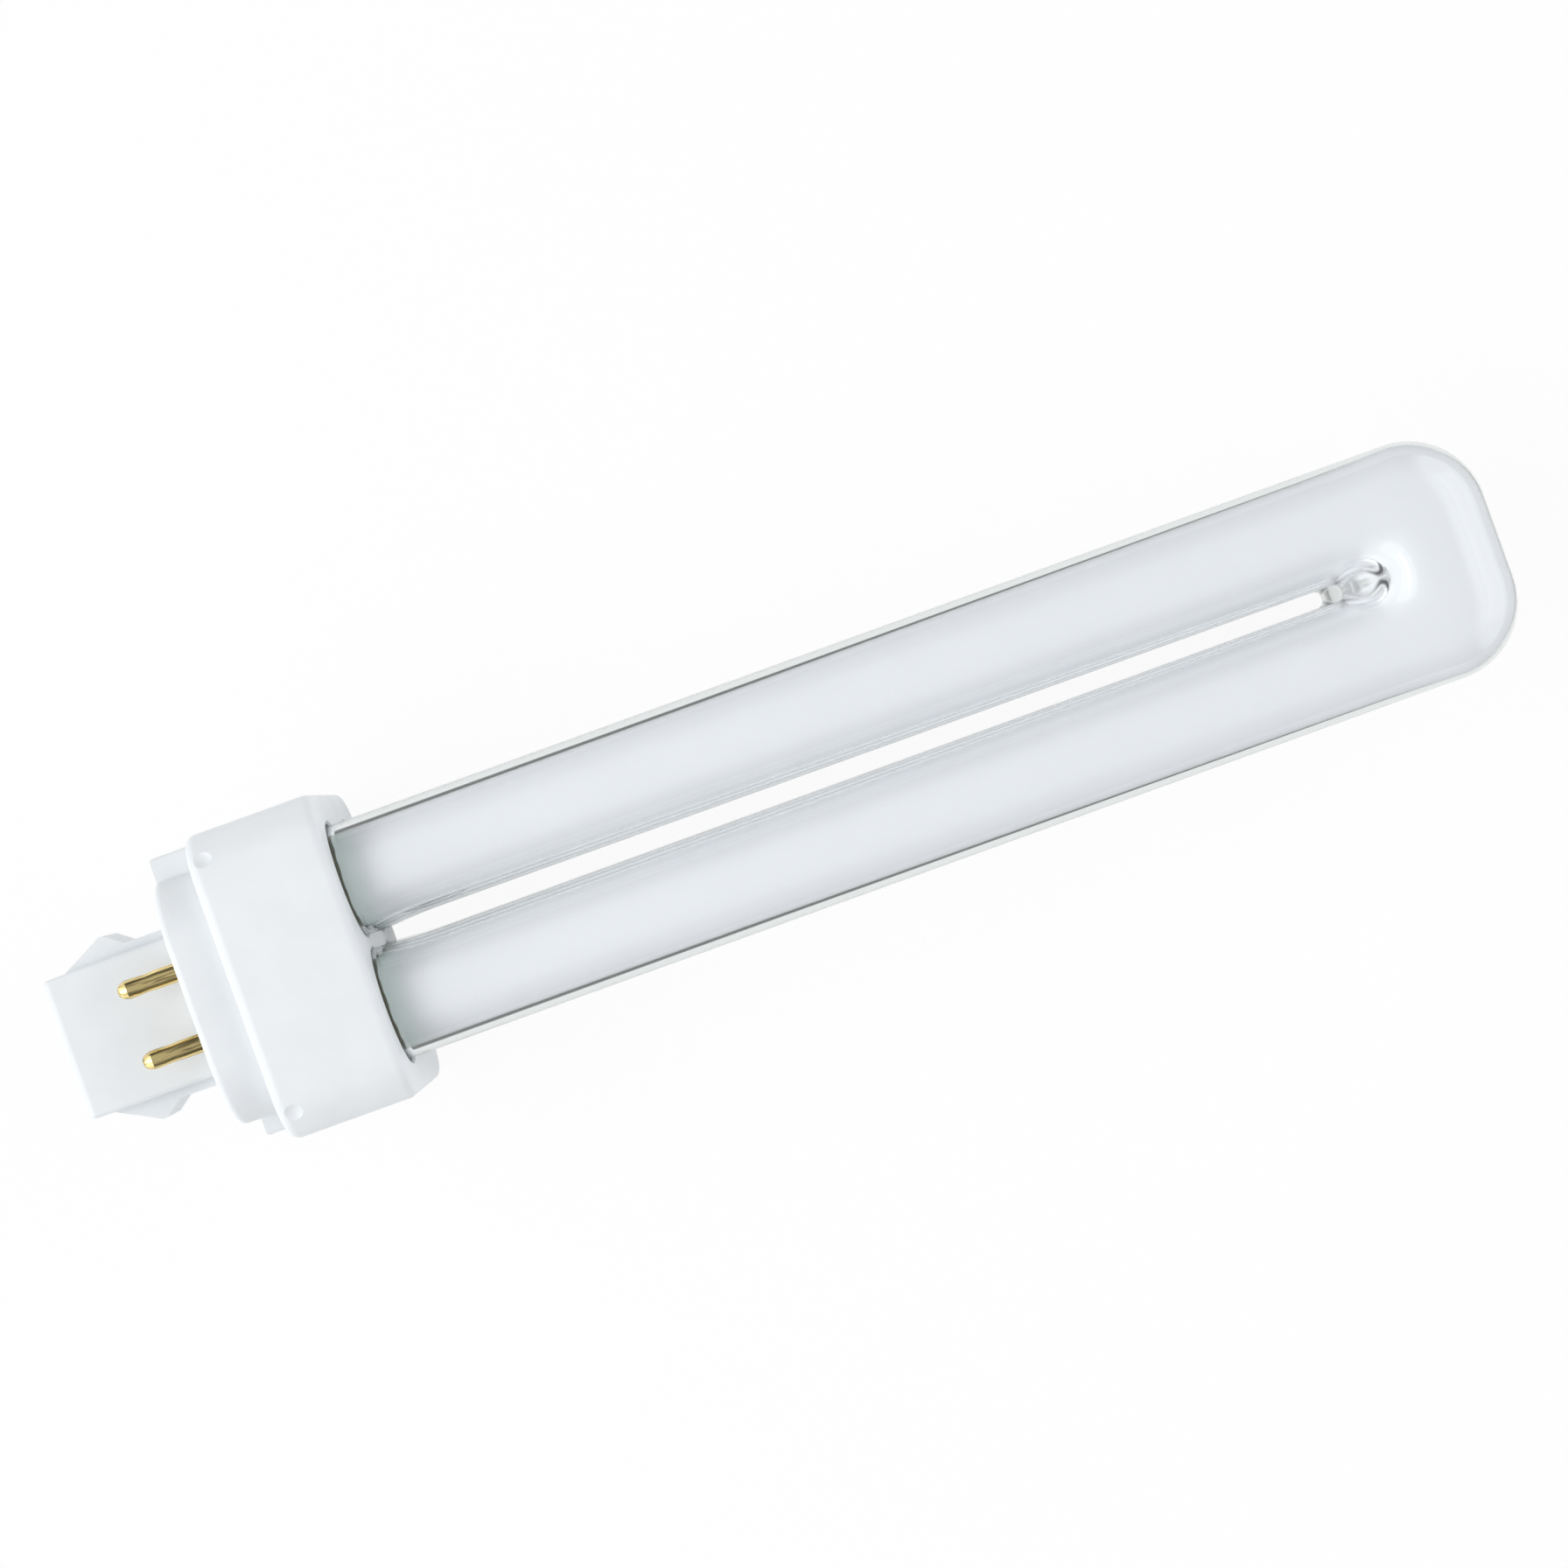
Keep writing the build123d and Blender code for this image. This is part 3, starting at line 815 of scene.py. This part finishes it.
def wire_tree():
    """Sweeps a round wire along each polyline, with its corners turned as arcs."""
    build = MeshTree(
        "Bent wire",
        (
            ("Wire Radius", "NodeSocketFloat", 0.3 * MM),
            ("Turn Radius", "NodeSocketFloat", 0.7 * MM),
            ("Material", "NodeSocketMaterial", None),
        ),
    )
    given = build.given
    line = build.add("GeometryNodeMeshToCurve", {"Mesh": given["Geometry"]})
    bent = build.add(
        "GeometryNodeFilletCurve",
        {"Curve": line.outputs[0], "Radius": given["Turn Radius"]},
    )
    for socket in bent.inputs:
        if socket.name == "Mode":
            socket.default_value = "Poly"
        if socket.name == "Count":
            socket.default_value = 8
    section = build.add(
        "GeometryNodeCurvePrimitiveCircle", {"Radius": given["Wire Radius"], "Resolution": 16}
    )
    swept = build.add(
        "GeometryNodeCurveToMesh",
        {"Curve": bent.outputs[0], "Profile Curve": section.outputs[0], "Fill Caps": True},
    )
    shaded = build.add("GeometryNodeSetShadeSmooth", {"Geometry": swept.outputs[0]})
    build.finish(shaded.outputs[0])
    return build


def coil_tree():
    """Winds one closed coil along Y at each given point."""
    build = MeshTree(
        "Electrode coil",
        (
            ("Length", "NodeSocketFloat", 3.3 * MM),
            ("Coil Radius", "NodeSocketFloat", 0.3 * MM),
            ("Wire Radius", "NodeSocketFloat", 0.11 * MM),
            ("Turns", "NodeSocketFloat", 12.0),
            ("Material", "NodeSocketMaterial", None),
        ),
    )
    given = build.given
    spiral = build.add(
        "GeometryNodeCurveSpiral",
        {
            "Resolution": 20,
            "Rotations": given["Turns"],
            "Start Radius": given["Coil Radius"],
            "End Radius": given["Coil Radius"],
            "Height": given["Length"],
        },
    )
    section = build.add(
        "GeometryNodeCurvePrimitiveCircle", {"Radius": given["Wire Radius"], "Resolution": 8}
    )
    wound = build.add(
        "GeometryNodeCurveToMesh",
        {"Curve": spiral.outputs[0], "Profile Curve": section.outputs[0], "Fill Caps": True},
    )
    across = build.add(
        "GeometryNodeTransform",
        {"Geometry": wound.outputs[0], "Rotation": (-math.pi / 2, 0.0, 0.0)},
    )
    shaded = build.add("GeometryNodeSetShadeSmooth", {"Geometry": across.outputs[0]})
    copies = build.add(
        "GeometryNodeInstanceOnPoints",
        {"Points": given["Geometry"], "Instance": shaded.outputs[0]},
    )
    build.finish(copies.outputs[0])
    return build


class LAMP_OT_tubes(bpy.types.Operator):
    """Makes the glass U-tubes with their bridge, and the white coating inside them"""

    bl_idname = "lamp.tubes"
    bl_label = "Glass tubes"

    def execute(self, context):
        glass = context.scene.lamp_glass
        face_x, tip = housing_high.x, tube_high.x
        start = cement_low.x
        bore_start = start + glass.wall
        bridge = glass.bridge / 2
        outer = fused("glass_outer", TubeForm(glass, face_x, tip), start, bridge)
        bore = TubeForm(glass, face_x, tip, 0.0)
        inner = fused("glass_inner", bore, bore_start, bridge - glass.wall)
        vessel = joined("glass_tubes", [(outer, False), (inner, True)])
        smooth(vessel.data)
        finish_piece(vessel, clear_glass(glass, bore.slot_end), "coated_glass", "discharge_tube")

        form = TubeForm(glass, face_x, tip, glass.air_gap)
        coat_start = face_x - COAT_ROOT
        coat = fused("coat", form, coat_start, bridge - glass.wall - glass.air_gap)
        coat.name = "phosphor_coating"
        self.open_ends(coat.data, coat_start)
        film = coat.modifiers.new("Film", "SOLIDIFY")
        film.thickness = glass.film
        film.offset = -1
        evaluated(coat)
        smooth(coat.data)
        finish_piece(coat, phosphor(glass, face_x, form.slot_end), "coated_glass")
        return {"FINISHED"}

    def open_ends(self, mesh, start):
        """Takes away the discs that close the legs' ends."""
        shape = bmesh.new()
        shape.from_mesh(mesh)
        ends = [f for f in shape.faces if max(v.co.x for v in f.verts) < start + TOUCH]
        bmesh.ops.delete(shape, geom=ends, context="FACES")
        shape.to_mesh(mesh)
        shape.free()


class LAMP_OT_base(bpy.types.Operator):
    """Dresses the moulded housing and cap, and the cement round the leg ends"""

    bl_idname = "lamp.base"
    bl_label = "Base"

    def execute(self, context):
        plastic = context.scene.lamp_plastic
        look = (plastic.base, plastic.shade, plastic.gloss, plastic.grain)
        white = moulded("White moulded plastic", *look, depth=GRAIN_HEIGHT)
        cement = moulded(
            "Basing cement", CEMENT, CEMENT_SHADE, gloss=0.85, grain=0.6 * MM, depth=0.1 * MM
        )
        for node, material in (
            ("base_housing", white),
            ("base_cap", white),
            ("basing_cement", cement),
        ):
            part = frame["nodes"][node]
            part.data.materials.clear()
            part.data.materials.append(material)
        return {"FINISHED"}


class LAMP_OT_pins(bpy.types.Operator):
    """Makes the four brass contact pins"""

    bl_idname = "lamp.pins"
    bl_label = "Contact pins"

    def execute(self, context):
        pins = context.scene.lamp_pins
        radius = pins.diameter / 2
        root_radius = (pin_high.y - pin_low.y) / 2
        start, root = pin_low.x, pin_high.x
        tip_radius = pins.tip_diameter / 2
        shoulder = start + pins.tip
        outline = [(start, 0.0)]
        outline += [(start + x, tip_radius + r) for x, r in PIN_TIP]
        outline += [(shoulder + x, radius + r) for x, r in PIN_SHOULDER]
        for k in range(WAIST_STEPS + 1):
            t = k / WAIST_STEPS
            x = -pins.waist_at + pins.waist_length * (t - 0.5)
            outline.append((x, radius - (radius - pins.waist / 2) * math.sin(math.pi * t) ** 2))
        outline += [(0.0, radius), (0.0, root_radius), (root, root_radius), (root, 0.0)]
        pin = new_object("contact_pins", turned("contact_pins", outline))
        brass = metal("Drawn brass", pins.brass, roughness=0.08, along=0.06)
        pin_pattern_tree().run(pin, {"Pitch": pins.pitch, "Rows": pins.rows, "Material": brass})
        smooth(pin.data, PIN_CREASE)
        nodes = [f"contact_pin_{number}" for number in range(1, 5)]
        finish_piece(pin, brass, "pin_brass", *nodes)
        return {"FINISHED"}


class LAMP_OT_electrodes(bpy.types.Operator):
    """Makes the lead wires and the two coated electrode coils inside the glass"""

    bl_idname = "lamp.electrodes"
    bl_label = "Electrodes"

    def execute(self, context):
        wires = context.scene.lamp_wires
        pins = context.scene.lamp_pins
        half_pitch = context.scene.lamp_glass.pitch / 2
        inner_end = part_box("lead_wire_1")[0].x
        verts, edges, coils = [], [], []
        for side in (-1, 1):
            z, pin_z = side * half_pitch, side * pins.rows / 2
            for across in (-1, 1):
                y = half_pitch + across * wires.spacing / 2
                pin_y = across * pins.pitch / 2
                first = len(verts)
                verts += [
                    (wires.end, y, z),
                    (wires.turn_at, y, z),
                    (wires.turn_at, pin_y, pin_z),
                    (inner_end, pin_y, pin_z),
                ]
                edges += [(first + k, first + k + 1) for k in range(3)]
            length = wires.spacing - wires.diameter
            coils.append((wires.end - wires.coil_diameter / 2, half_pitch - length / 2, z))
        nickel = metal("Nickel wire", NICKEL, roughness=0.3, along=0.1)
        mesh = bpy.data.meshes.new("lead_wires")
        mesh.from_pydata(verts, edges, [])
        leads = new_object("lead_wires", mesh)
        wire_tree().run(
            leads,
            {
                "Wire Radius": wires.diameter / 2,
                "Turn Radius": wires.turn_radius,
                "Material": nickel,
            },
        )
        nodes = [f"lead_wire_{number}" for number in range(1, 5)]
        finish_piece(leads, nickel, "lead_wire", *nodes)
        emitter = moulded(
            "Emitter coating", EMITTER, EMITTER_SHADE, gloss=0.8, grain=0.1 * MM, depth=0.02 * MM
        )
        mesh = bpy.data.meshes.new("electrode_coils")
        mesh.from_pydata(coils, [], [])
        coil = new_object("electrode_coils", mesh)
        coil_tree().run(
            coil,
            {
                "Length": wires.spacing - wires.diameter,
                "Coil Radius": (wires.coil_diameter - wires.coil_wire) / 2,
                "Wire Radius": wires.coil_wire / 2,
                "Turns": float(wires.coil_turns),
                "Material": emitter,
            },
        )
        finish_piece(coil, emitter, "coated_tungsten", "filament_1", "filament_2")
        return {"FINISHED"}


class LAMP_OT_stage(bpy.types.Operator):
    """Sets the pale floor, the soft lights and the camera"""

    bl_idname = "lamp.stage"
    bl_label = "Stage"

    def execute(self, context):
        stage = context.scene.lamp_stage
        self.floor(stage)
        self.world(stage)
        self.lights(stage)
        self.camera(stage)
        context.scene.view_settings.view_transform = "Standard"
        return {"FINISHED"}

    def floor(self, stage):
        """A plane that the housing's edge and the tube tips both rest on."""
        edge = Vector((housing_high.x, 0, housing_low.z))
        tips = Vector((tube_high.x - TIP_CONTACT, 0, tube_low.z))
        along = (tips - edge).normalized() * FLOOR_HALF
        across = Vector((0, FLOOR_HALF, 0))
        middle = edge - Vector((0, 0, TOUCH))
        corners = [
            middle - along - across,
            middle + along - across,
            middle + along + across,
            middle - along + across,
        ]
        mesh = bpy.data.meshes.new("floor")
        mesh.from_pydata([tuple(corner) for corner in corners], [], [(0, 1, 2, 3)])
        floor = new_object("floor", mesh)
        mesh.materials.append(self.floor_material(stage))

    def floor_material(self, stage):
        """White to the camera and in gloss. Glass shows a lit sheet with a dark surround."""
        material, build, principled = shader("Pale floor")
        build.fill(principled, {"Base Color": solid(stage.floor), "Roughness": 0.9})
        rays = build.rays()
        glass_ray = rays["Is Transmission Ray"]
        seen = build.math("MAXIMUM", rays["Is Camera Ray"], rays["Is Glossy Ray"])
        seen = build.math("MAXIMUM", seen, glass_ray)

        at = build.split(build.place())
        edge = (stage.sheet - SHEET_BLUR, stage.sheet + SHEET_BLUR)
        beside = build.product(
            build.step(build.math("ABSOLUTE", at["Y"]), edge, 0.0, 1.0, "LINEAR"),
            build.step(at["X"], moved(tube_high.x, SHEET_BENDS), 1.0, BEND_SURROUND, "LINEAR"),
        )
        ahead = build.step(at["X"], moved(tube_high.x, SHEET_END), 0.0, 1.0)
        beyond = build.product(build.math("MAXIMUM", beside, ahead), glass_ray)

        tone = build.mix(glass_ray, solid(WHITE), solid(stage.seen_through))
        tone = build.mix(beyond, tone, solid(DARK_SURROUND))
        sheet = build.add("ShaderNodeEmission", {"Color": tone}).outputs[0]
        shown = build.blend(build.math("MULTIPLY", seen, FLOOR_LIGHT), principled.outputs[0], sheet)
        build.fill(build.tree.nodes["Material Output"], {"Surface": shown})
        return material

    def world(self, stage):
        """A surround dim at the lamp's sides and light at its ends. The camera sees white."""
        world = bpy.data.worlds.new("Surround")
        world.use_nodes = True
        build = ShaderTree(world.node_tree)
        at = build.split(build.place("Generated"))
        strength = build.step(at["Z"], OVERHEAD, stage.sky, stage.ceiling)
        for span, added in ((PLUG_SIDE, stage.plug_end), (BEND_SIDE, stage.bend_end)):
            strength = build.math("ADD", strength, build.step(at["X"], span, 0.0, added))
        around = build.tree.nodes["Background"]
        build.fill(around, {"Color": solid(SKY), "Strength": strength})
        white = build.add("ShaderNodeBackground", {"Color": solid(WHITE)})
        camera_ray = build.rays()["Is Camera Ray"]
        shown = build.blend(camera_ray, around.outputs[0], white.outputs[0])
        build.fill(build.tree.nodes["World Output"], {"Surface": shown})
        bpy.context.scene.world = world

    def lights(self, stage):
        """Two soft boxes beyond the lamp's ends, so that the legs show no streaks."""
        for name, place, measure, power in (
            ("Key light", KEY_PLACE, KEY_SIZE, stage.key),
            ("Fill light", FILL_PLACE, FILL_SIZE, stage.fill),
        ):
            light = bpy.data.lights.new(name, "AREA")
            light.shape = "RECTANGLE"
            light.size, light.size_y = measure
            light.energy = power
            holder = new_object(name, light)
            holder.location = place
            aim = Vector(LIGHTS_AIM) - Vector(place)
            holder.rotation_euler = aim.to_track_quat("-Z", "Y").to_euler()

    def camera(self, stage):
        data = bpy.data.cameras.new("Camera")
        data.sensor_width = 36.0
        data.lens = stage.lens
        data.clip_start = 0.01
        data.clip_end = 10.0
        camera = new_object("Camera", data)
        camera.location = (stage.aim_x, stage.aim_y, stage.distance)
        camera.rotation_euler = (0.0, 0.0, -stage.roll)
        bpy.context.scene.camera = camera


class LAMP_PT_panel(bpy.types.Panel):
    """Lists the lamp's sizes and colours with a button for each group of pieces"""

    bl_idname = "LAMP_PT_panel"
    bl_label = "Plug-in lamp"
    bl_space_type = "VIEW_3D"
    bl_region_type = "UI"
    bl_category = "Lamp"

    def draw(self, context):
        for name in GROUPS:
            box = self.layout.box()
            group = getattr(context.scene, name)
            for key in group.bl_rna.properties.keys():
                if key not in ("rna_type", "name"):
                    box.prop(group, key)
        for operator in OPERATORS:
            self.layout.operator(operator.bl_idname)


OPERATORS = (LAMP_OT_tubes, LAMP_OT_base, LAMP_OT_pins, LAMP_OT_electrodes, LAMP_OT_stage)


def register():
    for group in GROUPS.values():
        bpy.utils.register_class(group)
    for name, group in GROUPS.items():
        setattr(bpy.types.Scene, name, bpy.props.PointerProperty(type=group))
    for operator in OPERATORS:
        bpy.utils.register_class(operator)
    bpy.utils.register_class(LAMP_PT_panel)


def unregister():
    bpy.utils.unregister_class(LAMP_PT_panel)
    for operator in reversed(OPERATORS):
        bpy.utils.unregister_class(operator)
    for name, group in GROUPS.items():
        delattr(bpy.types.Scene, name)
        bpy.utils.unregister_class(group)


def main():
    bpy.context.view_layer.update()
    register()
    bpy.ops.lamp.tubes()
    bpy.ops.lamp.base()
    bpy.ops.lamp.pins()
    bpy.ops.lamp.electrodes()
    bpy.ops.lamp.stage()


if __name__ == "__main__":
    main()
